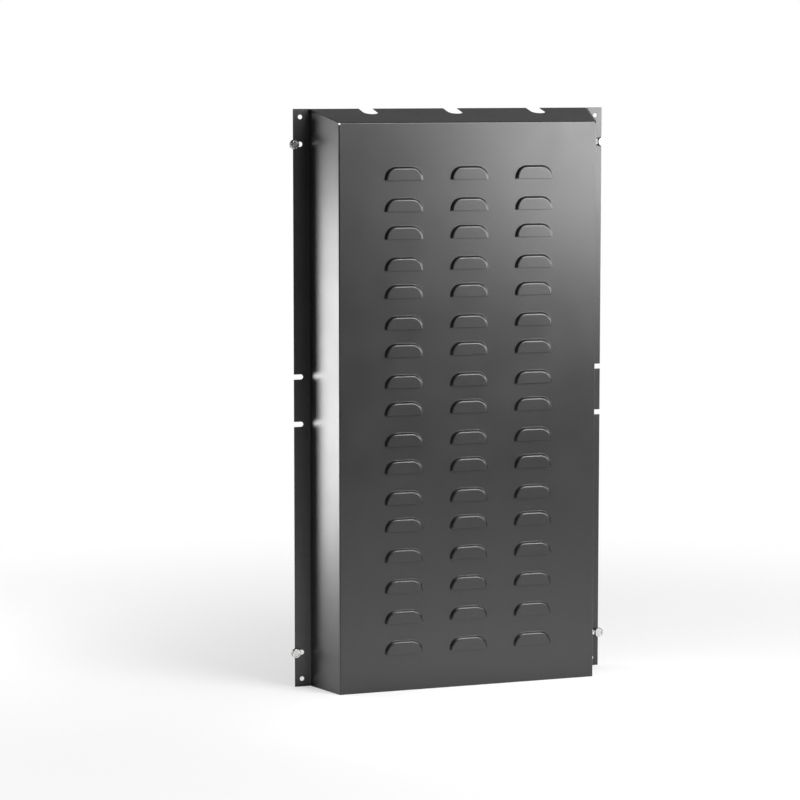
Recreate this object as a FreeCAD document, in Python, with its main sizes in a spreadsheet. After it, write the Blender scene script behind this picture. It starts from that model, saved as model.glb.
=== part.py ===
import FreeCAD, Part
import os
import Sketcher

# Driving dimensions in millimetres
DIMENSIONS = {
    # Folded sheet: front face, depth from front face to mounting plane, outward lean of the walls
    "front_width": 478,
    "front_height": 990,
    "depth": 95,
    "flare": 23,
    "sheet": 1.2,
    "bend_radius": 1,
    "flange_width": 28.5,
    # Corner seams between the top wall and the side walls, with a round relief at the front end
    "seam_gap": 0.8,
    "relief_diameter": 4,
    # Round-ended notches in the rear edge of the top wall
    "top_notch_width": 26,
    "top_notch_depth": 38,
    "top_notch_pitch": 157,
    # Mounting holes and open-ended notches in the flanges
    "hole_diameter": 8,
    "hole_from_end": 14,
    "hole_from_edge": 13,
    "notch_width": 8.8,
    "notch_depth": 17,
    "notch_from_end": 61,
    "notch_from_middle": 41.5,
    # Hood louvres: pairs of rows in the upper part, evenly spaced rows below
    "louvre_width": 70,
    "louvre_height": 23,
    "louvre_corner": 21,
    "louvre_raise": 5,
    "louvre_draft": 2.5,
    "column_pitch": 121,
    "first_row_drop": 75.5,
    "row_pitch": 54,
    "pair_pitch": 101.6,
    "most_pairs": 7,
    "last_row_margin": 65,
    # Thumb screws
    "screw_from_edge": 1,
    "head_diameter": 16.5,
    "head_length": 8,
    "dish_diameter": 11,
    "dish_depth": 0.8,
    "shank_diameter": 6,
    "shank_reach": 12,
    "head_clearance": 0.3,
    # How far a cut runs past the sheet
    "overcut": 5,
}

# Sizes that follow from the driving dimensions
HALF_FRONT = "dims.front_width / 2"
HALF_REAR = "(dims.front_width / 2 + dims.flare)"
HALF_OVERALL = "(dims.front_width / 2 + dims.flare + dims.flange_width)"
TOP = "(dims.front_height + dims.flare)"
LEAN = "(dims.flare / dims.depth)"
SLANT = "sqrt(1 + (dims.flare / dims.depth)^2)"
TOP_WALL_LENGTH = f"(dims.depth * {SLANT} - dims.sheet * {LEAN})"
OUTER_BEND = "(dims.bend_radius + dims.sheet)"
MOUNTING_PLANE = "(dims.depth + dims.louvre_raise - dims.shank_reach) / 2"
LOUVRE_SPAN = "(dims.front_height - dims.first_row_drop - dims.louvre_height - dims.last_row_margin)"
PAIR_COUNT = f"min(dims.most_pairs; floor(({LOUVRE_SPAN} - dims.row_pitch) / dims.pair_pitch) + 1)"
PAIR_SPAN = f"({PAIR_COUNT} - 1) * dims.pair_pitch + dims.row_pitch"
LOWER_ROW_COUNT = f"floor(({LOUVRE_SPAN} - ({PAIR_SPAN})) / dims.row_pitch)"

# Counts: louvre columns, straight facets in each corner of a louvre's hollow, steps of the top notches
COLUMN_COUNT = 3
HOLLOW_CORNER_FACETS = 3
TOP_NOTCH_STEPS = (-1, 0, 1)

# How near two coordinates are to count as the same, in millimetres
SAME_PLACE = 1e-4

doc = FreeCAD.newDocument("extended_rear_panel")
dims = doc.addObject("Spreadsheet::Sheet", "dims")
for row, (alias, size) in enumerate(DIMENSIONS.items(), start=1):
    dims.set(f"A{row}", alias)
    dims.set(f"B{row}", str(size))
    dims.setAlias(f"B{row}", alias)
doc.recompute()


def value(expression):
    """Number that an expression comes to."""
    return float(dims.evalExpression(expression))


def new_body(label, x="0", z="0"):
    """Body with its own label, placed so that the whole part is centred front to back."""
    body = doc.addObject("PartDesign::Body", label)
    body.Label = label
    body.setExpression("Placement.Base.x", x)
    body.setExpression("Placement.Base.y", MOUNTING_PLANE)
    body.setExpression("Placement.Base.z", z)
    return body


def origin_feature(body, role):
    return next(feature for feature in body.Origin.OriginFeatures if feature.Role == role)


def new_sketch(body, name, plane, lift="0"):
    """Sketch on one of the body's own planes, lifted along that plane's normal."""
    sketch = body.newObject("Sketcher::SketchObject", name)
    sketch.AttachmentSupport = (origin_feature(body, plane), [""])
    sketch.MapMode = "FlatFace"
    sketch.setExpression("AttachmentOffset.Base.z", lift)
    return sketch


def top_wall_sketch(body, name):
    """Sketch on the outer face of the top wall, with its y axis running up the slope."""
    sketch = new_sketch(body, name, "XY_Plane", "dims.front_height")
    slope = FreeCAD.Rotation(FreeCAD.Vector(1, 0, 0), value(f"atan({LEAN})"))
    sketch.AttachmentOffset = FreeCAD.Placement(FreeCAD.Vector(0, 0, 0), slope)
    sketch.setExpression("AttachmentOffset.Base.y", "-dims.depth")
    sketch.setExpression("AttachmentOffset.Rotation.Angle", f"atan({LEAN})")
    return sketch


def bind(sketch, constraint, expression):
    index = sketch.addConstraint(constraint)
    sketch.setExpression(f"Constraints[{index}]", expression)


def pin(sketch, geometry, point, x=None, y=None):
    """Hold a point of the sketch at coordinates given as expressions."""
    for kind, expression in (("DistanceX", x), ("DistanceY", y)):
        if expression is not None:
            bind(sketch, Sketcher.Constraint(kind, -1, 1, geometry, point, value(expression)), expression)


def arc_between(start, end, axis, level):
    """Anticlockwise arc from start to end, whose centre has the given x or y."""
    middle = (start + end) / 2
    chord = end - start
    if axis == "x":
        centre = FreeCAD.Vector(level, middle.y - (level - middle.x) * chord.x / chord.y, 0)
    else:
        centre = FreeCAD.Vector(middle.x - (level - middle.y) * chord.y / chord.x, level, 0)
    circle = Part.Circle(centre, FreeCAD.Vector(0, 0, 1), (start - centre).Length)
    return Part.ArcOfCircle(circle, circle.parameter(start), circle.parameter(end))


def add_outline(sketch, corners, arcs=None):
    """Closed outline through corners given as pairs of expressions, anticlockwise.

    arcs maps a corner's number to the arc that leaves it: the axis and coordinate of its centre,
    and whether it bulges outwards.
    """
    arcs = arcs or {}
    count = len(corners)
    points = [FreeCAD.Vector(value(x), value(y), 0) for x, y in corners]
    edges = []
    for number, start in enumerate(points):
        end = points[(number + 1) % count]
        axis, level, outwards = arcs.get(number, (None, None, True))
        if axis is None:
            curve = Part.LineSegment(start, end)
        elif outwards:
            curve = arc_between(start, end, axis, value(level))
        else:
            curve = arc_between(end, start, axis, value(level))
        ends = (1, 2) if outwards else (2, 1)
        edges.append((sketch.addGeometry(curve), *ends))
    for number, (x, y) in enumerate(corners):
        edge, start, end = edges[number]
        following, following_start, _ = edges[(number + 1) % count]
        sketch.addConstraint(Sketcher.Constraint("Coincident", edge, end, following, following_start))
        pin(sketch, edge, start, x, y)
        if number in arcs:
            axis, level, _ = arcs[number]
            pin(sketch, edge, 3, **{axis: level})


def add_circle(sketch, x, y, diameter):
    centre = FreeCAD.Vector(value(x), value(y), 0)
    geometry = sketch.addGeometry(Part.Circle(centre, FreeCAD.Vector(0, 0, 1), value(diameter) / 2))
    pin(sketch, geometry, 3, x, y)
    bind(sketch, Sketcher.Constraint("Diameter", geometry, value(diameter)), diameter)


def volume_of(body):
    return 0 if body.Shape.isNull() else body.Shape.Volume


def extrude(body, kind, sketch, name, length, reverse=False, symmetric=False):
    """Pad or Pocket of a sketch, refused if it leaves the solid as it was."""
    before = volume_of(body)
    feature = body.newObject(f"PartDesign::{kind}", name)
    feature.Profile = sketch
    feature.setExpression("Length", length)
    feature.Reversed = reverse
    if symmetric:
        feature.SideType = "Symmetric"
    doc.recompute()
    change = volume_of(body) - before
    if (change if kind == "Pad" else -change) <= 0:
        raise RuntimeError(f"{name} does not change the solid")
    return feature


def fillet_edges(body, name, radius, runs_along):
    """Round the edges of the body that the test picks."""
    tip = body.Tip
    edges = [f"Edge{number}" for number, edge in enumerate(tip.Shape.Edges, start=1) if runs_along(edge)]
    if not edges:
        raise RuntimeError(f"{name} finds no edge")
    feature = body.newObject("PartDesign::Fillet", name)
    feature.Base = (tip, edges)
    feature.setExpression("Radius", radius)
    doc.recompute()
    return feature


def is_near(first, second):
    return abs(first - second) < SAME_PLACE


def upright_at(places):
    """Test for upright edges that stand at one of the places, given as pairs of expressions."""
    spots = [(value(x), value(y)) for x, y in places]

    def runs_along(edge):
        return any(all(is_near(v.X, x) and is_near(v.Y, y) for v in edge.Vertexes) for x, y in spots)

    return runs_along


def level_at(y, z):
    """Test for edges that run across the part at the given depth and height."""
    place = (value(y), value(z))

    def runs_along(edge):
        return all(is_near(v.Y, place[0]) and is_near(v.Z, place[1]) for v in edge.Vertexes)

    return runs_along


def both_sides(x, y):
    return [(x, y), (f"-({x})", y)]


# Folded sheet

def fold_sides(panel):
    """Front face, leaning side walls and flanges, as one bent section run up the height."""
    flange_front = f"{HALF_REAR} - dims.sheet * {LEAN}"
    flange_back = f"{HALF_REAR} - dims.sheet * {SLANT}"
    front_inside = f"{HALF_FRONT} + dims.sheet * ({LEAN} - {SLANT})"
    right = [
        (HALF_FRONT, "-dims.depth"),
        (flange_front, "-dims.sheet"),
        (HALF_OVERALL, "-dims.sheet"),
        (HALF_OVERALL, "0"),
        (flange_back, "0"),
        (front_inside, "dims.sheet - dims.depth"),
    ]
    left = [(f"-({x})", y) for x, y in reversed(right)]
    section = new_sketch(panel, "bent_section", "XY_Plane")
    add_outline(section, right + left)
    extrude(panel, "Pad", section, "folded_sides", TOP)
    hollow = both_sides(flange_front, "-dims.sheet") + both_sides(front_inside, "dims.sheet - dims.depth")
    fillet_edges(panel, "inner_bends", "dims.bend_radius", upright_at(hollow))
    round_side = both_sides(HALF_FRONT, "-dims.depth") + both_sides(flange_back, "0")
    fillet_edges(panel, "outer_bends", OUTER_BEND, upright_at(round_side))


def fold_top(panel):
    """Top wall on the same sheet, between the side walls, with open seams and relief holes."""
    wall = top_wall_sketch(panel, "top_wall_outline")
    half_width = f"({HALF_FRONT} - dims.sheet * {SLANT} - dims.seam_gap)"
    rear_half_width = f"{half_width} + {TOP_WALL_LENGTH} * dims.flare / (dims.depth * {SLANT})"
    add_outline(wall, [
        (f"-{half_width}", "0"),
        (half_width, "0"),
        (rear_half_width, TOP_WALL_LENGTH),
        (f"-({rear_half_width})", TOP_WALL_LENGTH),
    ])
    extrude(panel, "Pad", wall, "top_wall", "dims.sheet", reverse=True)

    trim = new_sketch(panel, "top_outside", "YZ_Plane")
    bend_reach = f"{OUTER_BEND} * ({SLANT} - {LEAN})"
    bend_foot = f"dims.front_height - {bend_reach}"
    front_end = "-dims.depth - dims.overcut"
    upper_end = f"{TOP} + dims.overcut"
    add_outline(
        trim,
        [
            (front_end, bend_foot),
            ("-dims.depth", bend_foot),
            (f"{bend_reach} / {SLANT} - dims.depth", f"dims.front_height + {bend_reach} * {LEAN} / {SLANT}"),
            ("-dims.sheet", f"{TOP} - dims.sheet * {LEAN}"),
            ("-dims.sheet", upper_end),
            (front_end, upper_end),
        ],
        {1: ("x", f"{OUTER_BEND} - dims.depth", False)},
    )
    extrude(panel, "Pocket", trim, "top_trim", f"2 * ({HALF_OVERALL} + dims.overcut)", symmetric=True)

    relief = new_sketch(panel, "relief_holes", "XZ_Plane", "dims.depth + dims.overcut")
    inset = "(dims.sheet + dims.seam_gap / 2)"
    for x, z in both_sides(f"{HALF_FRONT} - {inset}", f"dims.front_height - {inset}"):
        add_circle(relief, x, z, "dims.relief_diameter")
    extrude(panel, "Pocket", relief, "corner_reliefs", "dims.overcut + dims.relief_diameter")

    inside = f"dims.front_height + dims.sheet * ({LEAN} - {SLANT})"
    fillet_edges(panel, "top_inner_bend", "dims.bend_radius", level_at("dims.sheet - dims.depth", inside))


def cut_top_notches(panel):
    notches = top_wall_sketch(panel, "top_notches")
    radius = "dims.top_notch_width / 2"
    centre = f"{TOP_WALL_LENGTH} - dims.top_notch_depth + {radius}"
    mouth = f"{TOP_WALL_LENGTH} + dims.overcut"
    for step in TOP_NOTCH_STEPS:
        right = f"{step} * dims.top_notch_pitch + {radius}"
        left = f"{step} * dims.top_notch_pitch - {radius}"
        corners = [(right, centre), (right, mouth), (left, mouth), (left, centre)]
        add_outline(notches, corners, {3: ("y", centre, True)})
    extrude(panel, "Pocket", notches, "cut_top_notches", "2 * dims.sheet")


def cut_flanges(panel):
    """Round mounting holes near the flange ends, and open-ended notches for screws."""
    openings = new_sketch(panel, "flange_openings", "XZ_Plane")
    notch_heights = [
        "dims.notch_from_end",
        f"{TOP} / 2 - dims.notch_from_middle",
        f"{TOP} / 2 + dims.notch_from_middle",
        f"{TOP} - dims.notch_from_end",
    ]
    for side in (-1, 1):
        mouth = f"{side} * ({HALF_OVERALL} + dims.overcut)"
        centre = f"{side} * ({HALF_OVERALL} - dims.notch_depth + dims.notch_width / 2)"
        for height in notch_heights:
            upper = f"{height} + {side} * dims.notch_width / 2"
            lower = f"{height} - {side} * dims.notch_width / 2"
            corners = [(mouth, upper), (centre, upper), (centre, lower), (mouth, lower)]
            add_outline(openings, corners, {1: ("x", centre, True)})
        for height in ("dims.hole_from_end", f"{TOP} - dims.hole_from_end"):
            hole = f"{side} * ({HALF_OVERALL} - dims.hole_from_edge)"
            add_circle(openings, hole, height, "dims.hole_diameter")
    extrude(panel, "Pocket", openings, "cut_flanges", "2 * dims.sheet", reverse=True)


def hood_section(panel, name, mouth, lift, inset, facets):
    """Level slice through a hood: straight mouth below, corners above that are round or faceted."""
    sketch = new_sketch(panel, name, "XZ_Plane", lift)
    half = f"(dims.louvre_width / 2 - {inset})"
    radius = f"(dims.louvre_corner - {inset})"
    first_column = f"(dims.column_pitch * {COLUMN_COUNT - 1} / 2)"
    right = f"({half} - {first_column})"
    left = f"(-{half} - {first_column})"
    centre_height = f"({mouth} + dims.louvre_height - {inset} - {radius})"
    corners = [(left, mouth), (right, mouth)]
    arcs = {}
    for first_angle, centre in ((0, f"({right} - {radius})"), (90, f"({left} + {radius})")):
        if facets == 1:
            arcs[len(corners)] = ("x", centre, True)
        for step in range(facets + 1):
            angle = first_angle + 90 * step / facets
            across = f"{centre} + {radius} * cos({angle})"
            up = f"{centre_height} + {radius} * sin({angle})"
            corners.append((across, up))
    add_outline(sketch, corners, arcs)
    return sketch


def form_louvres(panel, name, mouth, row_count, row_pitch):
    """Rows of hoods drawn out of the front face, each open along its lower edge."""
    slope = "(dims.louvre_draft / dims.louvre_raise)"
    wall_inset = f"dims.sheet * (sqrt(1 + {slope}^2) - {slope})"
    layers = [
        ("Additive", "hood", "dims.depth", "0", 1),
        ("Subtractive", "hollow", "dims.depth - dims.sheet", wall_inset, HOLLOW_CORNER_FACETS),
    ]
    originals = []
    for kind, form, lift, inset, facets in layers:
        part = f"{name}_{form}"
        root = hood_section(panel, f"{part}_root", mouth, lift, f"({inset})", facets)
        crown_lift = f"{lift} + dims.louvre_raise"
        crown_inset = f"({inset} + dims.louvre_draft)"
        crown = hood_section(panel, f"{part}_crown", mouth, crown_lift, crown_inset, facets)
        loft = panel.newObject(f"PartDesign::{kind}Loft", part)
        loft.Profile = root
        loft.Sections = [crown]
        loft.Ruled = True
        doc.recompute()
        originals.append(loft)
    before = volume_of(panel)
    rows = panel.newObject("PartDesign::LinearPattern", f"{name}_rows")
    rows.Originals = originals
    rows.Direction = (origin_feature(panel, "X_Axis"), [""])
    rows.setExpression("Length", f"dims.column_pitch * {COLUMN_COUNT - 1}")
    rows.Occurrences = COLUMN_COUNT
    rows.Direction2 = (origin_feature(panel, "Z_Axis"), [""])
    rows.Reversed2 = True
    rows.setExpression("Length2", f"{row_pitch} * ({row_count} - 1)")
    rows.setExpression("Occurrences2", row_count)
    panel.Tip = rows
    doc.recompute()
    if volume_of(panel) <= before:
        raise RuntimeError(f"{name} rows are not repeated")


def make_panel():
    panel = new_body("rear_panel")
    fold_sides(panel)
    fold_top(panel)
    cut_top_notches(panel)
    cut_flanges(panel)
    first = "dims.front_height - dims.first_row_drop - dims.louvre_height"
    form_louvres(panel, "pair_upper", first, PAIR_COUNT, "dims.pair_pitch")
    form_louvres(panel, "pair_lower", f"{first} - dims.row_pitch", PAIR_COUNT, "dims.pair_pitch")
    if value(LOWER_ROW_COUNT) > 0:
        below = f"{first} - ({PAIR_SPAN}) - dims.row_pitch"
        form_louvres(panel, "lower_bank", below, LOWER_ROW_COUNT, "dims.row_pitch")
    return panel


# Thumb screws

def make_screw(label, x, z):
    """Thumb screw on its own axis: dished round head in front of the flange, shank through the notch."""
    screw = new_body(label, x, z)
    profile = new_sketch(screw, "screw_profile", "XY_Plane")
    head = "dims.head_diameter / 2"
    shank = "dims.shank_diameter / 2"
    dish = "dims.dish_diameter / 2"
    seat = "-(dims.sheet + dims.head_clearance)"
    face = f"{seat} - dims.head_length"
    add_outline(profile, [
        ("0", f"{face} + dims.dish_depth"),
        (f"{dish} - dims.dish_depth", f"{face} + dims.dish_depth"),
        (dish, face),
        (head, face),
        (head, seat),
        (shank, seat),
        (shank, "dims.shank_reach"),
        ("0", "dims.shank_reach"),
    ])
    turned = screw.newObject("PartDesign::Revolution", "turned_screw")
    turned.Profile = profile
    turned.ReferenceAxis = (profile, ["V_Axis"])
    turned.Angle = 360
    doc.recompute()
    return screw


def make_screws():
    """One thumb screw in the outer notch at each flange end."""
    heights = {"bottom": "dims.notch_from_end", "top": f"{TOP} - dims.notch_from_end"}
    sides = {"left": -1, "right": 1}
    return [
        make_screw(f"thumb_screw_{end}_{side}", f"{sign} * ({HALF_OVERALL} - dims.screw_from_edge)", height)
        for end, height in heights.items()
        for side, sign in sides.items()
    ]


sub_parts = [make_panel()] + make_screws()
doc.recompute()

for item in doc.Objects:
    if "Invalid" in item.State or "Error" in item.State:
        raise RuntimeError(f"{item.Label} did not build")
for sub_part in sub_parts:
    if sub_part.Shape.isNull() or not sub_part.Shape.isValid() or len(sub_part.Shape.Solids) != 1:
        raise RuntimeError(f"{sub_part.Label} is not one valid solid")

os.makedirs("parts", exist_ok=True)
for sub_part in sub_parts:
    sub_part.Shape.exportStep(f"parts/{sub_part.Label}.step")
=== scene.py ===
import math

import bmesh
import bpy
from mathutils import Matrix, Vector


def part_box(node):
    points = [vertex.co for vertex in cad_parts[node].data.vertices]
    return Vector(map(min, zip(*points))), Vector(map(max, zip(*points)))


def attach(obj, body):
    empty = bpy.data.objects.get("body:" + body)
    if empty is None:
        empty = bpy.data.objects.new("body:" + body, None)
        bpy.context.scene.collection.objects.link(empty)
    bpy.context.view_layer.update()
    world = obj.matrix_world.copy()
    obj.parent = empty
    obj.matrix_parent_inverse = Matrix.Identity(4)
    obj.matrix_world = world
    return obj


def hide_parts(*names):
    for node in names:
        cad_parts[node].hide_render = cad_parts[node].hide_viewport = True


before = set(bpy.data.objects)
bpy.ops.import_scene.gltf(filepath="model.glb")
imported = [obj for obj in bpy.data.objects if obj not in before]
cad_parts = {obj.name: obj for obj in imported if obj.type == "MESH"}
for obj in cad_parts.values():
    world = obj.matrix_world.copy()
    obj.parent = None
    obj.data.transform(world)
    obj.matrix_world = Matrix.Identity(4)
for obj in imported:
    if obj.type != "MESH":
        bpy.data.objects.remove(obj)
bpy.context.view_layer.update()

MM = 0.001
# Two places nearer than this are one, and a cutting plane takes points this near to it as lying on it
NEAR = 0.02 * MM
ON_PLANE = 0.01 * NEAR

# Sheet sizes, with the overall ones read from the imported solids
SHEET = 1.2 * MM
BEND_RADIUS = 1.0 * MM
FLANGE_WIDTH = 28.5 * MM
FLARE = 23 * MM
SEAM_GAP = 0.8 * MM
RELIEF_DIAMETER = 4 * MM
TOP_NOTCH_WIDTH = 26 * MM
TOP_NOTCH_DEPTH = 38 * MM
TOP_NOTCH_PITCH = 157 * MM
HOLE_DIAMETER = 8 * MM
HOLE_FROM_END = 14 * MM
HOLE_FROM_EDGE = 13 * MM
NOTCH_WIDTH = 8.8 * MM
NOTCH_DEPTH = 17 * MM
NOTCH_FROM_END = 61 * MM
NOTCH_FROM_MIDDLE = 41.5 * MM
EDGE_ROUND = 0.4 * MM
TIGHT_RADIUS = 3 * MM
CUTTER_THICKNESS = 8 * SHEET

# Hood louvres, with the roundings that a press leaves at the foot and the crown of a hood
LOUVRE_WIDTH = 70 * MM
LOUVRE_HEIGHT = 23 * MM
LOUVRE_CORNER = 21 * MM
LOUVRE_RAISE = 5 * MM
LOUVRE_DRAFT = 2.5 * MM
FOOT_ROUND = 1.0 * MM
CROWN_ROUND = 4 * MM
COLUMN_PITCH = 121 * MM
COLUMN_COUNT = 3
FIRST_ROW_DROP = 75.5 * MM
ROW_PITCH = 54 * MM
PAIR_PITCH = 101.6 * MM
PAIR_COUNT = 7
LOWER_ROW_COUNT = 3
TILE_MARGIN = 7 * MM
HOOD_SKIRT = 15 * MM

# Thumb screws
HEAD_LENGTH = 8 * MM
HEAD_CHAMFER = 0.8 * MM
DISH_RADIUS = 5.5 * MM
DISH_DEPTH = 0.8 * MM
RING_INNER = 2 * MM
RING_OUTER = 3 * MM
RING_SLOPE = 0.3 * MM
RING_HEIGHT = 0.4 * MM
SHANK_RADIUS = 3 * MM
THREAD_PITCH = 1.0 * MM
THREAD_DEPTH = 0.55 * MM
THREAD_ROOT = 0.2 * MM
THREAD_CREST = 0.1 * MM
KNURL_DEPTH = 0.3 * MM
KNURL_ROWS = 9

# Steps of the roundings
CORNER_STEPS = 10
ROUND_STEPS = 4
BEND_STEPS = 6
EDGE_STEPS = 3
HOLE_STEPS = 32
TURNED_STEPS = 80
THREAD_STEPS = 24

# Edges that turn by more than these are broken, or shaded as sharp
BROKEN_EDGE = math.radians(60)
SHARP_ON_SHEET = math.radians(40)
SHARP_ON_SCREW = math.radians(25)

# Stage and camera, in metres and radians, with the lens in millimetres
FLOOR_SIZE = 8
SHADOW_REACH = 0.4
WHITE_FROM = 1.8
CAMERA_PLACE = (-1.9254, -4.9657, 1.0860)
CAMERA_YAW = 0.35059
CAMERA_PITCH = 0.10932
LENS = 136.83
SENSOR = 36

# Places that follow from the sizes
panel_low, panel_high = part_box("rear_panel")
FRONT = panel_low.y + LOUVRE_RAISE
DEPTH = panel_high.y - FRONT
TOP = panel_high.z
HALF_OVERALL = panel_high.x
HALF_REAR = HALF_OVERALL - FLANGE_WIDTH
HALF_FRONT = HALF_REAR - FLARE
FRONT_HEIGHT = TOP - FLARE
LEAN = FLARE / DEPTH
SLANT = math.hypot(1, LEAN)
BEND_TURN = math.pi / 2 - math.atan(LEAN)
OUTER_BEND = BEND_RADIUS + SHEET
SEAM = HALF_FRONT - SHEET * SLANT - SEAM_GAP
TOP_WALL_LENGTH = DEPTH * SLANT - SHEET * LEAN
RELIEF_INSET = SHEET + SEAM_GAP / 2
RELIEF_FROM_MIDDLE = HALF_FRONT - RELIEF_INSET
RELIEF_LEVEL = FRONT_HEIGHT - RELIEF_INSET
# The corners are cut away down to a level inside the relief holes
CORNER_LEVEL = RELIEF_LEVEL - RELIEF_DIAMETER / 4
COLUMNS = [COLUMN_PITCH * (n - (COLUMN_COUNT - 1) / 2) for n in range(COLUMN_COUNT)]
FIRST_MOUTH = FRONT_HEIGHT - FIRST_ROW_DROP - LOUVRE_HEIGHT
PAIRS = [FIRST_MOUTH - PAIR_PITCH * n for n in range(PAIR_COUNT)]
MOUTHS = [z for upper in PAIRS for z in (upper, upper - ROW_PITCH)]
MOUTHS += [MOUTHS[-1] - ROW_PITCH * n for n in range(1, LOWER_ROW_COUNT + 1)]
TILE_HALF_WIDTH = LOUVRE_WIDTH / 2 + TILE_MARGIN
TILE_TOP = LOUVRE_HEIGHT + TILE_MARGIN
CORE_RADIUS = SHANK_RADIUS - THREAD_DEPTH


# Handling of pieces

def choose(*pieces):
    """Select these pieces alone, the first one active."""
    bpy.ops.object.select_all(action="DESELECT")
    for piece in pieces:
        piece.select_set(True)
    bpy.context.view_layer.objects.active = pieces[0]


def settle(name):
    """Name the new primitive and put its place, turn and scale into its mesh."""
    piece = bpy.context.object
    piece.name = name
    piece.data.name = name
    bpy.ops.object.transform_apply(location=True, rotation=True, scale=True)
    return piece


def place(piece, location, rotation=(0, 0, 0)):
    """Turn and move a piece in its mesh."""
    piece.rotation_euler = rotation
    piece.location = location
    choose(piece)
    bpy.ops.object.transform_apply(location=True, rotation=True, scale=False)
    return piece


def copy_to(piece, location):
    """Copy with its own mesh, moved in that mesh."""
    choose(piece)
    bpy.ops.object.duplicate()
    return place(bpy.context.object, location)


def join(*pieces):
    """Join the pieces into the first one."""
    choose(*pieces)
    bpy.ops.object.join()
    return pieces[0]


def modify(piece, kind, **settings):
    """Add a modifier and apply it."""
    choose(piece)
    bpy.ops.object.modifier_add(type=kind)
    modifier = piece.modifiers[-1]
    for name, value in settings.items():
        setattr(modifier, name, value)
    bpy.ops.object.modifier_apply(modifier=modifier.name)


def near(a, b):
    """Whether two coordinates are one place."""
    return abs(a - b) < NEAR


def pick(kind, wanted):
    """Select in edit mode the vertices and edges that lie wholly, or the faces that centre, where wanted."""
    bpy.ops.mesh.select_mode(type=kind)
    bpy.ops.mesh.select_all(action="DESELECT")
    data = bpy.context.edit_object.data
    shape = bmesh.from_edit_mesh(data)
    if kind == "VERT":
        found = [v for v in shape.verts if wanted(v.co)]
    elif kind == "EDGE":
        found = [e for e in shape.edges if all(wanted(v.co) for v in e.verts)]
    else:
        found = [f for f in shape.faces if wanted(f.calc_center_median())]
    for item in found:
        item.select_set(True)
    bmesh.update_edit_mesh(data)


def extrude_by(x, y, z):
    """Draw out what is selected."""
    bpy.ops.mesh.extrude_region_move(TRANSFORM_OT_translate={"value": (x, y, z)})


def round_off(setback, steps, affect="EDGES"):
    """Bevel what is selected to its full width, however near its neighbours are."""
    bpy.ops.mesh.bevel(offset=setback, segments=steps, affect=affect, clamp_overlap=False)


def bisect_at(spot, normal, **settings):
    """Cut the whole piece at a plane."""
    bpy.ops.mesh.select_all(action="SELECT")
    bpy.ops.mesh.bisect(plane_co=spot, plane_no=normal, threshold=ON_PLANE, **settings)


def merge_close():
    """Merge the vertices that are in one place."""
    bpy.ops.mesh.select_all(action="SELECT")
    bpy.ops.mesh.remove_doubles(threshold=NEAR)


# Folded and louvred sheet

def upright_plane(name, half_width, bottom, top):
    """Rectangle that faces the front."""
    bpy.ops.object.select_all(action="DESELECT")
    bpy.ops.mesh.primitive_plane_add(
        size=1, location=(0, 0, (bottom + top) / 2), rotation=(math.pi / 2, 0, 0))
    bpy.context.object.scale = (2 * half_width, top - bottom, 1)
    return settle(name)


def hood_steps():
    """Reach of the rounded foot, and the steps in and out over foot, wall and rounded crown."""
    turn = math.atan2(LOUVRE_RAISE, LOUVRE_DRAFT)
    foot = FOOT_ROUND * math.tan(turn / 2)
    crown = CROWN_ROUND * math.tan(turn / 2)
    angles = [turn * n / ROUND_STEPS for n in range(ROUND_STEPS + 1)]
    points = [(FOOT_ROUND * math.sin(a) - foot, FOOT_ROUND * (1 - math.cos(a))) for a in angles]
    start = (LOUVRE_DRAFT - crown * math.cos(turn), LOUVRE_RAISE - crown * math.sin(turn))
    for a in angles:
        inwards = start[0] + CROWN_ROUND * (math.sin(turn) - math.sin(turn - a))
        outwards = start[1] + CROWN_ROUND * (math.cos(turn - a) - math.cos(turn))
        points.append((inwards, outwards))
    return foot, [(b[0] - a[0], b[1] - a[1]) for a, b in zip(points, points[1:])]


def make_louvre_tile():
    """Hood pressed out of a flat piece of sheet, slit along its mouth at height 0."""
    foot, steps = hood_steps()
    # The skirt below the mouth takes the roundings of the lower side, and is cut off with them
    tile = upright_plane("louvre_tile", LOUVRE_WIDTH / 2 + foot, -HOOD_SKIRT, LOUVRE_HEIGHT + foot)
    bpy.ops.object.mode_set(mode="EDIT")
    pick("VERT", lambda co: co.z > 0)
    round_off(LOUVRE_CORNER + foot, CORNER_STEPS, affect="VERTICES")
    pick("FACE", lambda co: True)
    for inwards, outwards in steps:
        bpy.ops.mesh.inset(thickness=inwards, depth=outwards)
    bisect_at((0, 0, 0), (0, 0, 1), clear_inner=True)
    # Slit edge of the flat sheet, then the flat sheet round the hood
    pick("VERT", lambda co: near(co.y, 0) and near(co.z, 0))
    bpy.ops.mesh.edge_face_add()
    bpy.ops.mesh.select_all(action="DESELECT")
    bpy.ops.mesh.primitive_plane_add(
        size=1, location=(0, 0, (TILE_TOP - TILE_MARGIN) / 2), rotation=(math.pi / 2, 0, 0))
    bpy.ops.transform.resize(value=(2 * TILE_HALF_WIDTH, 1, TILE_TOP + TILE_MARGIN))
    bpy.ops.mesh.delete(type="ONLY_FACE")
    pick("EDGE", lambda co: near(co.y, 0))
    bpy.ops.mesh.fill(use_beauty=True)
    bpy.ops.object.mode_set(mode="OBJECT")
    return tile


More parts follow.
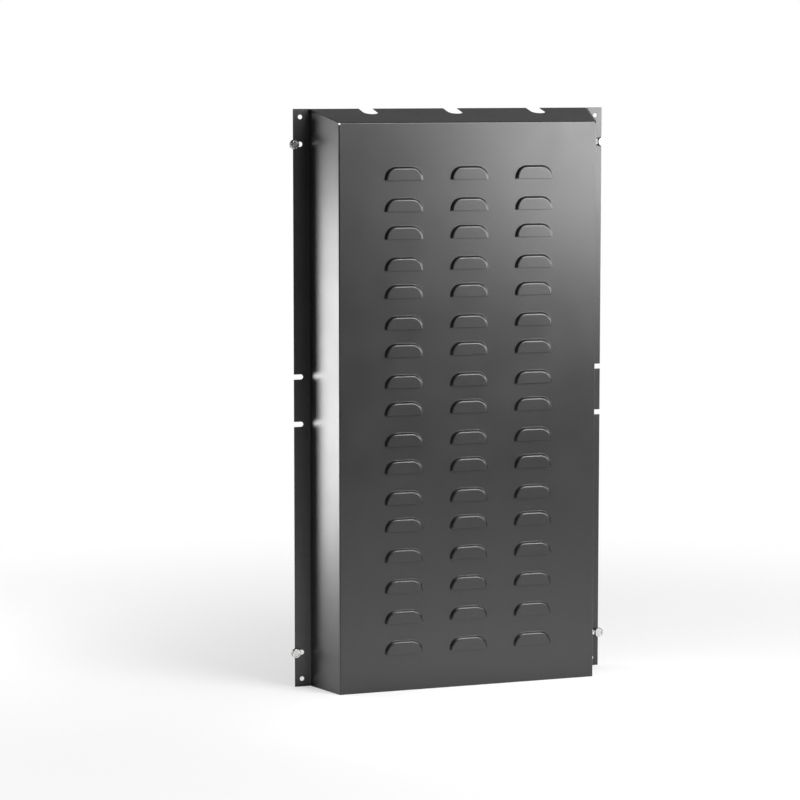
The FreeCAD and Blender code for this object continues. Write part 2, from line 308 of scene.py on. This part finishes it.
def make_front_sheet(tile):
    """Flat front face, cut into a grid so that a louvre tile drops into each window."""
    sheet = upright_plane("rear_panel_sheet", HALF_FRONT, 0, FRONT_HEIGHT)
    upright_cuts = [x + side * TILE_HALF_WIDTH for x in COLUMNS for side in (-1, 1)]
    upright_cuts += [-SEAM, SEAM]
    level_cuts = [z + edge for z in MOUTHS for edge in (-TILE_MARGIN, TILE_TOP)]
    level_cuts.append(CORNER_LEVEL)
    cuts = [((x, 0, 0), (1, 0, 0)) for x in upright_cuts]
    cuts += [((0, 0, z), (0, 0, 1)) for z in level_cuts]
    bpy.ops.object.mode_set(mode="EDIT")
    for spot, normal in cuts:
        bisect_at(spot, normal)

    def in_window(centre):
        in_column = any(abs(centre.x - x) < TILE_HALF_WIDTH for x in COLUMNS)
        in_row = any(-TILE_MARGIN < centre.z - z < TILE_TOP for z in MOUTHS)
        in_corner = abs(centre.x) > SEAM and centre.z > CORNER_LEVEL
        return in_column and in_row or in_corner

    pick("FACE", in_window)
    bpy.ops.mesh.delete(type="FACE")
    bpy.ops.object.mode_set(mode="OBJECT")
    copies = [copy_to(tile, (x, 0, z)) for x in COLUMNS for z in MOUTHS]
    bpy.data.objects.remove(tile)
    join(sheet, *copies)
    bpy.ops.object.mode_set(mode="EDIT")
    merge_close()
    bpy.ops.transform.translate(value=(0, FRONT, 0))
    bpy.ops.object.mode_set(mode="OBJECT")
    return sheet


def fold_sheet(sheet):
    """Side walls, flanges and top wall drawn out of the edges of the front face, then bent round."""
    choose(sheet)
    bpy.ops.object.mode_set(mode="EDIT")
    reach = DEPTH - SHEET
    wall_end = HALF_FRONT + reach * LEAN
    for side in (-1, 1):
        pick("EDGE", lambda co: near(co.x, side * HALF_FRONT))
        extrude_by(side * reach * LEAN, reach, 0)
        extrude_by(side * (HALF_OVERALL - wall_end), 0, 0)
    # Behind the corner reliefs the upper edges of the walls follow the slope of the top wall
    relief_end = FRONT + RELIEF_DIAMETER
    bisect_at((0, relief_end, 0), (0, 1, 0))
    for y, height in ((relief_end, FRONT_HEIGHT + RELIEF_DIAMETER * LEAN), (FRONT + reach, TOP)):
        pick("VERT", lambda co: near(co.y, y) and near(co.z, CORNER_LEVEL))
        bpy.ops.transform.translate(value=(0, 0, height - CORNER_LEVEL))

    def along_top(co):
        return near(co.y, FRONT) and near(co.z, FRONT_HEIGHT) and abs(co.x) < SEAM + NEAR

    rise = TOP_WALL_LENGTH * LEAN / SLANT
    pick("EDGE", along_top)
    extrude_by(0, TOP_WALL_LENGTH / SLANT, rise)
    bpy.ops.transform.resize(value=(1 + rise / SEAM, 1, 1), center_override=(0, 0, 0))

    bends = [
        (OUTER_BEND, lambda co: near(co.y, FRONT) and near(abs(co.x), HALF_FRONT)),
        (OUTER_BEND, along_top),
        (BEND_RADIUS, lambda co: near(co.y, FRONT + reach) and near(abs(co.x), wall_end)),
    ]
    for radius, at_bend in bends:
        pick("EDGE", at_bend)
        round_off(radius * math.tan(BEND_TURN / 2), BEND_STEPS)
    bpy.ops.object.mode_set(mode="OBJECT")


def drill(x, y, z, diameter):
    """Cutter for a round hole."""
    bpy.ops.object.select_all(action="DESELECT")
    bpy.ops.mesh.primitive_cylinder_add(
        vertices=HOLE_STEPS, radius=diameter / 2, depth=CUTTER_THICKNESS, location=(x, y, z),
        rotation=(math.pi / 2, 0, 0))
    return settle("drill")


def notch_cutter(width, length):
    """Cutter that runs upwards from a round end at the origin."""
    bpy.ops.object.select_all(action="DESELECT")
    bpy.ops.mesh.primitive_cube_add(size=1, location=(0, 0, length / 2))
    bpy.context.object.scale = (width, CUTTER_THICKNESS, length)
    cutter = settle("notch_cutter")
    bpy.ops.object.mode_set(mode="EDIT")
    for side in (-1, 1):
        pick("EDGE", lambda co: near(co.z, 0) and near(co.x, side * width / 2))
        round_off(width / 2 - NEAR, HOLE_STEPS // 4)
    bpy.ops.object.mode_set(mode="OBJECT")
    return cutter


def cut_sheet(sheet):
    """Holes and notches cut out of the sheet once it has its thickness."""
    flange = panel_high.y - SHEET / 2
    middle = TOP / 2
    notch_heights = (
        NOTCH_FROM_END, middle - NOTCH_FROM_MIDDLE, middle + NOTCH_FROM_MIDDLE, TOP - NOTCH_FROM_END)
    cutters = []
    for side in (-1, 1):
        for z in (HOLE_FROM_END, TOP - HOLE_FROM_END):
            cutters.append(drill(side * (HALF_OVERALL - HOLE_FROM_EDGE), flange, z, HOLE_DIAMETER))
        for z in notch_heights:
            notch = notch_cutter(NOTCH_WIDTH, 2 * NOTCH_DEPTH)
            spot = (side * (HALF_OVERALL - NOTCH_DEPTH), flange, z)
            cutters.append(place(notch, spot, (0, side * math.pi / 2, 0)))
        cutters.append(drill(side * RELIEF_FROM_MIDDLE, FRONT, RELIEF_LEVEL, RELIEF_DIAMETER))
    along = TOP_WALL_LENGTH - TOP_NOTCH_DEPTH
    for step in (-1, 0, 1):
        notch = notch_cutter(TOP_NOTCH_WIDTH, 2 * TOP_NOTCH_DEPTH)
        spot = (step * TOP_NOTCH_PITCH, FRONT + along / SLANT, FRONT_HEIGHT + along * LEAN / SLANT)
        cutters.append(place(notch, spot, (math.atan(LEAN) - math.pi / 2, 0, 0)))
    cutter = join(*cutters)
    modify(sheet, "BOOLEAN", object=cutter, operation="DIFFERENCE", solver="EXACT")
    bpy.data.objects.remove(cutter)


def round_edges(sheet):
    """Break the cut edges, apart from those at tight spots: the ends of the slits and the corner reliefs."""
    tight_spots = [(x + side * LOUVRE_WIDTH / 2, z) for x in COLUMNS for side in (-1, 1) for z in MOUTHS]
    tight_spots += [(side * RELIEF_FROM_MIDDLE, RELIEF_LEVEL) for side in (-1, 1)]

    def is_tight(co):
        return any(math.hypot(co.x - x, co.z - z) < TIGHT_RADIUS for x, z in tight_spots)

    choose(sheet)
    bpy.ops.object.mode_set(mode="EDIT")
    bpy.ops.mesh.select_mode(type="EDGE")
    bpy.ops.mesh.select_all(action="DESELECT")
    bpy.ops.mesh.edges_select_sharp(sharpness=BROKEN_EDGE)
    shape = bmesh.from_edit_mesh(sheet.data)
    for edge in shape.edges:
        if edge.select and all(is_tight(v.co) for v in edge.verts):
            edge.select_set(False)
    bmesh.update_edit_mesh(sheet.data)
    round_off(EDGE_ROUND, EDGE_STEPS)
    bpy.ops.object.mode_set(mode="OBJECT")


def make_panel():
    """Whole panel: louvred and folded as a skin, then thickened, cut and broken at its edges."""
    sheet = make_front_sheet(make_louvre_tile())
    fold_sheet(sheet)
    modify(sheet, "SOLIDIFY", thickness=SHEET, offset=-1, use_even_offset=True, use_quality_normals=True)
    cut_sheet(sheet)
    round_edges(sheet)
    choose(sheet)
    bpy.ops.object.shade_smooth_by_angle(angle=SHARP_ON_SHEET)
    modify(sheet, "WEIGHTED_NORMAL", keep_sharp=True)
    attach(sheet, "panel")
    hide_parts("rear_panel")
    return sheet


# Thumb screws

def draw_line(name, points):
    """Open line in the plane of X and Y, drawn point by point."""
    bpy.ops.object.select_all(action="DESELECT")
    bpy.ops.mesh.primitive_plane_add(size=MM, location=(*points[0], 0))
    line = settle(name)
    bpy.ops.object.mode_set(mode="EDIT")
    bpy.ops.mesh.select_mode(type="VERT")
    bpy.ops.mesh.select_all(action="SELECT")
    bpy.ops.mesh.merge(type="CENTER")
    for start, end in zip(points, points[1:]):
        step = (end[0] - start[0], end[1] - start[1], 0)
        bpy.ops.mesh.extrude_vertices_move(TRANSFORM_OT_translate={"value": step})
    bpy.ops.object.mode_set(mode="OBJECT")
    return line


def make_head(radius, face, seat):
    """Turned head with a dished, ringed face and a diamond knurl round its rim."""
    dish = face + DISH_DEPTH
    ring = dish - RING_HEIGHT
    rim = radius - HEAD_CHAMFER - KNURL_DEPTH
    knurl_start = face + HEAD_CHAMFER
    knurl_end = seat - HEAD_CHAMFER
    knurl_step = (knurl_end - knurl_start) / (KNURL_ROWS - 1)
    neck_end = panel_high.y + THREAD_PITCH / 2
    outline = [
        (0, dish),
        (RING_INNER, dish),
        (RING_INNER + RING_SLOPE, ring),
        (RING_OUTER - RING_SLOPE, ring),
        (RING_OUTER, dish),
        (DISH_RADIUS - DISH_DEPTH, dish),
        (DISH_RADIUS, face),
        (rim, face),
    ]
    outline += [(radius, knurl_start + knurl_step * n) for n in range(KNURL_ROWS)]
    outline += [(rim, seat), (CORE_RADIUS, seat), (CORE_RADIUS, neck_end), (0, neck_end)]
    head = draw_line("thumb_screw", outline)
    bpy.ops.object.mode_set(mode="EDIT")
    bpy.ops.mesh.select_all(action="SELECT")
    bpy.ops.mesh.spin(steps=TURNED_STEPS, angle=2 * math.pi, center=(0, 0, 0), axis=(0, 1, 0))
    merge_close()
    bpy.ops.mesh.normals_make_consistent(inside=False)

    def in_groove(co):
        row = round((co.y - knurl_start) / knurl_step)
        spoke = round(math.atan2(co.z, co.x) / (2 * math.pi) * TURNED_STEPS)
        return near(math.hypot(co.x, co.z), radius) and (row + spoke) % 2 == 1

    pick("VERT", in_groove)
    inwards = 1 - KNURL_DEPTH / radius
    bpy.ops.transform.resize(value=(inwards, 1, inwards), center_override=(0, 0, 0))
    bpy.ops.object.mode_set(mode="OBJECT")
    return head


def make_thread(start, end):
    """Thread wound round the shank and cut square at both ends."""
    first = start - THREAD_PITCH
    turns = math.ceil((end - first) / THREAD_PITCH) + 1
    flank = (THREAD_PITCH - THREAD_ROOT - THREAD_CREST) / 2
    crest_start = first + THREAD_ROOT + flank
    outline = [
        (CORE_RADIUS, first),
        (CORE_RADIUS, first + THREAD_ROOT),
        (SHANK_RADIUS, crest_start),
        (SHANK_RADIUS, crest_start + THREAD_CREST),
        (CORE_RADIUS, first + THREAD_PITCH),
    ]
    thread = draw_line("thread", outline)
    modify(
        thread, "SCREW", axis="Y", angle=2 * math.pi, screw_offset=THREAD_PITCH, iterations=turns,
        steps=THREAD_STEPS, render_steps=THREAD_STEPS, use_merge_vertices=True, merge_threshold=NEAR)
    choose(thread)
    bpy.ops.object.mode_set(mode="EDIT")
    merge_close()
    bpy.ops.mesh.normals_make_consistent(inside=False)
    for spot, normal in ((start, -1), (end, 1)):
        bisect_at((0, spot, 0), (0, normal, 0), clear_outer=True, use_fill=True)
    bpy.ops.object.mode_set(mode="OBJECT")
    return thread


def make_screws():
    """One thumb screw, modelled on the depth axis and copied to each of the four places."""
    low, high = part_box("thumb_screw_top_left")
    head = make_head((high.x - low.x) / 2, low.y, low.y + HEAD_LENGTH)
    screw = join(head, make_thread(panel_high.y, high.y))
    bpy.ops.object.shade_smooth_by_angle(angle=SHARP_ON_SCREW)
    screws = []
    for end in ("top", "bottom"):
        for side in ("left", "right"):
            low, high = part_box(f"thumb_screw_{end}_{side}")
            copy = copy_to(screw, ((low.x + high.x) / 2, 0, (low.z + high.z) / 2))
            copy.name = f"knurled_thumb_screw_{end}_{side}"
            copy.data.name = copy.name
            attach(copy, f"screw_{end}_{side}")
            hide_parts(f"thumb_screw_{end}_{side}")
            screws.append(copy)
    bpy.data.objects.remove(screw)
    return screws


# Materials

def linear(code):
    """Linear colour of an sRGB hex value."""
    parts = [int(code[n:n + 2], 16) / 255 for n in (1, 3, 5)]
    return [p / 12.92 if p <= 0.04045 else ((p + 0.055) / 1.055) ** 2.4 for p in parts] + [1]


def add_node(tree, kind, inputs=None, links=None, **settings):
    """Node with its settings, its input values, and links from other nodes' outputs."""
    node = tree.nodes.new(kind)
    for name, value in settings.items():
        setattr(node, name, value)
    for name, value in (inputs or {}).items():
        node.inputs[name].default_value = value
    for name, (source, output) in (links or {}).items():
        tree.links.new(source.outputs[output], node.inputs[name])
    return node


def new_material(name):
    """Material with an empty node tree, and that tree."""
    material = bpy.data.materials.new(name)
    material.use_nodes = True
    material.node_tree.nodes.clear()
    return material, material.node_tree


def powder_coat_on_steel():
    # Black polyester powder, sprayed and baked: satin, with a fine orange peel that blurs what it mirrors
    material, tree = new_material("black_powder_coat_on_steel")
    place_on = add_node(tree, "ShaderNodeTexCoord")
    # Orange peel of about 1 mm is drawn 2.5 mm wide, so that it shows
    peel_width = 2.5 * MM
    peel_depth = 0.15 * MM
    peel = add_node(
        tree, "ShaderNodeTexNoise", {"Scale": 1 / peel_width, "Detail": 2, "Roughness": 0.5},
        {"Vector": (place_on, "Object")})
    bump = add_node(
        tree, "ShaderNodeBump", {"Strength": 0.45, "Distance": peel_depth}, {"Height": (peel, "Fac")})
    # Film of uneven thickness over a hand's breadth, which shifts gloss and shade a little
    film_width = 90 * MM
    film = add_node(
        tree, "ShaderNodeTexNoise", {"Scale": 1 / film_width, "Detail": 3, "Roughness": 0.55},
        {"Vector": (place_on, "Object")})
    gloss = add_node(
        tree, "ShaderNodeMapRange", {"From Min": 0.3, "From Max": 0.7, "To Min": 0.3, "To Max": 0.35},
        {"Value": (film, "Fac")})
    shade = add_node(tree, "ShaderNodeValToRGB", None, {"Fac": (film, "Fac")})
    shade.color_ramp.elements[0].position = 0.3
    shade.color_ramp.elements[0].color = linear("#131313")
    shade.color_ramp.elements[1].position = 0.7
    shade.color_ramp.elements[1].color = linear("#171718")
    powder = add_node(
        tree, "ShaderNodeBsdfPrincipled", {"IOR": 1.7},
        {"Base Color": (shade, "Color"), "Roughness": (gloss, "Result"), "Normal": (bump, "Normal")})
    add_node(tree, "ShaderNodeOutputMaterial", None, {"Surface": (powder, "BSDF")})
    return material


def nickel_plate():
    # Bright nickel on turned brass: pale, faintly warm mirror, softened by handling
    material, tree = new_material("bright_nickel_plate")
    place_on = add_node(tree, "ShaderNodeTexCoord")
    smear_width = 3 * MM
    handling = add_node(
        tree, "ShaderNodeTexNoise", {"Scale": 1 / smear_width, "Detail": 3, "Roughness": 0.6},
        {"Vector": (place_on, "Object")})
    gloss = add_node(
        tree, "ShaderNodeMapRange", {"From Min": 0.3, "From Max": 0.7, "To Min": 0.16, "To Max": 0.28},
        {"Value": (handling, "Fac")})
    plate = add_node(
        tree, "ShaderNodeBsdfPrincipled", {"Base Color": linear("#d2d2d0"), "Metallic": 1},
        {"Roughness": (gloss, "Result")})
    add_node(tree, "ShaderNodeOutputMaterial", None, {"Surface": (plate, "BSDF")})
    return material


def pale_floor():
    # Matt white studio floor that keeps the shadow near the panel and runs out to plain white
    material, tree = new_material("pale_floor")
    place_on = add_node(tree, "ShaderNodeTexCoord")
    distance = add_node(
        tree, "ShaderNodeVectorMath", None, {0: (place_on, "Object")}, operation="LENGTH")
    run_out = {"From Min": SHADOW_REACH, "From Max": WHITE_FROM, "To Min": 0.45, "To Max": 1}
    white_share = add_node(
        tree, "ShaderNodeMapRange", run_out, {"Value": (distance, "Value")},
        interpolation_type="SMOOTHSTEP")
    path = add_node(tree, "ShaderNodeLightPath")
    share = add_node(
        tree, "ShaderNodeMath", None, {0: (path, "Is Camera Ray"), 1: (white_share, "Result")},
        operation="MULTIPLY")
    paint = add_node(tree, "ShaderNodeBsdfDiffuse", {"Color": linear("#f2f2f2")})
    white = add_node(tree, "ShaderNodeEmission", {"Color": (1, 1, 1, 1), "Strength": 1})
    mix = add_node(tree, "ShaderNodeMixShader", None, {0: (share, 0), 1: (paint, 0), 2: (white, 0)})
    add_node(tree, "ShaderNodeOutputMaterial", None, {"Surface": (mix, 0)})
    return material


def coat(pieces, material):
    """Give the pieces this material alone."""
    for piece in pieces:
        piece.data.materials.clear()
        piece.data.materials.append(material)


# Stage, light and camera

def lay_floor():
    """Pale floor that the panel stands on."""
    bpy.ops.object.select_all(action="DESELECT")
    bpy.ops.mesh.primitive_plane_add(size=FLOOR_SIZE)
    floor = settle("floor")
    coat([floor], pale_floor())


def light_world():
    """White for the camera, a studio for reflections, an even light for all else."""
    even_light = 0.45
    dark_room = 0.04
    dim_room = 0.18
    dim_side = (0.948, 0.317, 0)
    wall_top = 0.15
    ceiling_start = 0.5
    dark_ceiling = 0.15
    world = bpy.data.worlds.new("studio")
    bpy.context.scene.world = world
    world.use_nodes = True
    tree = world.node_tree
    tree.nodes.clear()
    path = add_node(tree, "ShaderNodeLightPath")
    way = add_node(tree, "ShaderNodeTexCoord")
    # Reflections see the same white behind the panel, and in front of it a dark room, dim on the right
    parts = add_node(tree, "ShaderNodeSeparateXYZ", None, {0: (way, "Generated")})
    fall_off = {"From Min": wall_top, "From Max": ceiling_start, "To Min": 1, "To Max": dark_ceiling}
    ceiling = add_node(
        tree, "ShaderNodeMapRange", fall_off, {"Value": (parts, "Z")}, interpolation_type="SMOOTHSTEP")
    behind = add_node(
        tree, "ShaderNodeMapRange", {"From Min": 0.1, "From Max": 0.4, "To Min": 0, "To Max": 1},
        {"Value": (parts, "Y")}, interpolation_type="SMOOTHSTEP")
    rightwards = add_node(
        tree, "ShaderNodeVectorMath", {1: dim_side}, {0: (way, "Generated")}, operation="DOT_PRODUCT")
    soft_border = {"From Min": -0.03, "From Max": 0.03, "To Min": dark_room, "To Max": dim_room}
    room = add_node(
        tree, "ShaderNodeMapRange", soft_border, {"Value": (rightwards, "Value")},
        interpolation_type="SMOOTHSTEP")
    walls = add_node(tree, "ShaderNodeMath", None, {0: (behind, 0), 1: (room, 0)}, operation="MAXIMUM")
    studio = add_node(tree, "ShaderNodeMath", None, {0: (walls, 0), 1: (ceiling, 0)}, operation="MULTIPLY")
    even = add_node(tree, "ShaderNodeBackground", {"Color": (1, 1, 1, 1), "Strength": even_light})
    mirrored = add_node(tree, "ShaderNodeBackground", {"Color": (1, 1, 1, 1)}, {"Strength": (studio, 0)})
    white = add_node(tree, "ShaderNodeBackground", {"Color": (1, 1, 1, 1), "Strength": 1})
    glossy = add_node(
        tree, "ShaderNodeMixShader", None, {0: (path, "Is Glossy Ray"), 1: (even, 0), 2: (mirrored, 0)})
    mix = add_node(
        tree, "ShaderNodeMixShader", None, {0: (path, "Is Camera Ray"), 1: (glossy, 0), 2: (white, 0)})
    add_node(tree, "ShaderNodeOutputWorld", None, {"Surface": (mix, 0)})


def add_softbox(name, location, target, width, height, power, spread=180):
    """Rectangular lamp that faces its target and that the camera doesn't see."""
    bpy.ops.object.select_all(action="DESELECT")
    bpy.ops.object.light_add(type="AREA", location=location)
    box = bpy.context.object
    box.name = name
    box.data.shape = "RECTANGLE"
    box.data.size = width
    box.data.size_y = height
    box.data.energy = power
    box.data.spread = math.radians(spread)
    box.visible_camera = False
    aim = [t - s for t, s in zip(target, location)]
    across = math.hypot(aim[0], aim[1])
    box.rotation_euler = (math.atan2(across, -aim[2]), 0, math.atan2(-aim[0], aim[1]))


def hang_softboxes():
    """Lamps, with places and sizes in metres, power in watts and spread in degrees."""
    # Glow at the upper right of the front face
    add_softbox(
        "right_softbox", (1.06, -1.37, 0.98), target=(0.2, 0, 0.9), width=0.9, height=0.55, power=16)
    # Bright lines along the crowns of the hoods
    add_softbox(
        "key_softbox", (0.6, -1.3, 1.7), target=(0.05, 0, 0.4), width=0.9, height=0.5, power=22)
    # Floor at the foot of the panel
    add_softbox(
        "floor_softbox", (0.1, -0.3, 0.75), target=(0.1, -0.299, 0), width=0.7, height=0.25, power=0.65,
        spread=60)
    # Bright band down the left side wall
    add_softbox(
        "left_softbox", (-1.35, 1.0, 0.41), target=(-0.25, 0, 0.5), width=0.7, height=0.76, power=15.5)
    # Right ends of the upper hoods
    add_softbox(
        "edge_softbox", (1.5, -0.6, 0.945), target=(0.15, 0, 0.945), width=0.8, height=0.45, power=1.9,
        spread=70)


def set_camera():
    """Camera at the photograph's viewpoint: to the left of the panel and a little above its middle."""
    bpy.ops.object.select_all(action="DESELECT")
    bpy.ops.object.camera_add(
        location=CAMERA_PLACE, rotation=(math.pi / 2 - CAMERA_PITCH, 0, -CAMERA_YAW))
    camera = bpy.context.object
    camera.data.lens = LENS
    camera.data.sensor_width = SENSOR
    bpy.context.scene.camera = camera


coat([make_panel()], powder_coat_on_steel())
coat(make_screws(), nickel_plate())
lay_floor()
light_world()
hang_softboxes()
set_camera()
bpy.context.scene.view_settings.view_transform = "Standard"
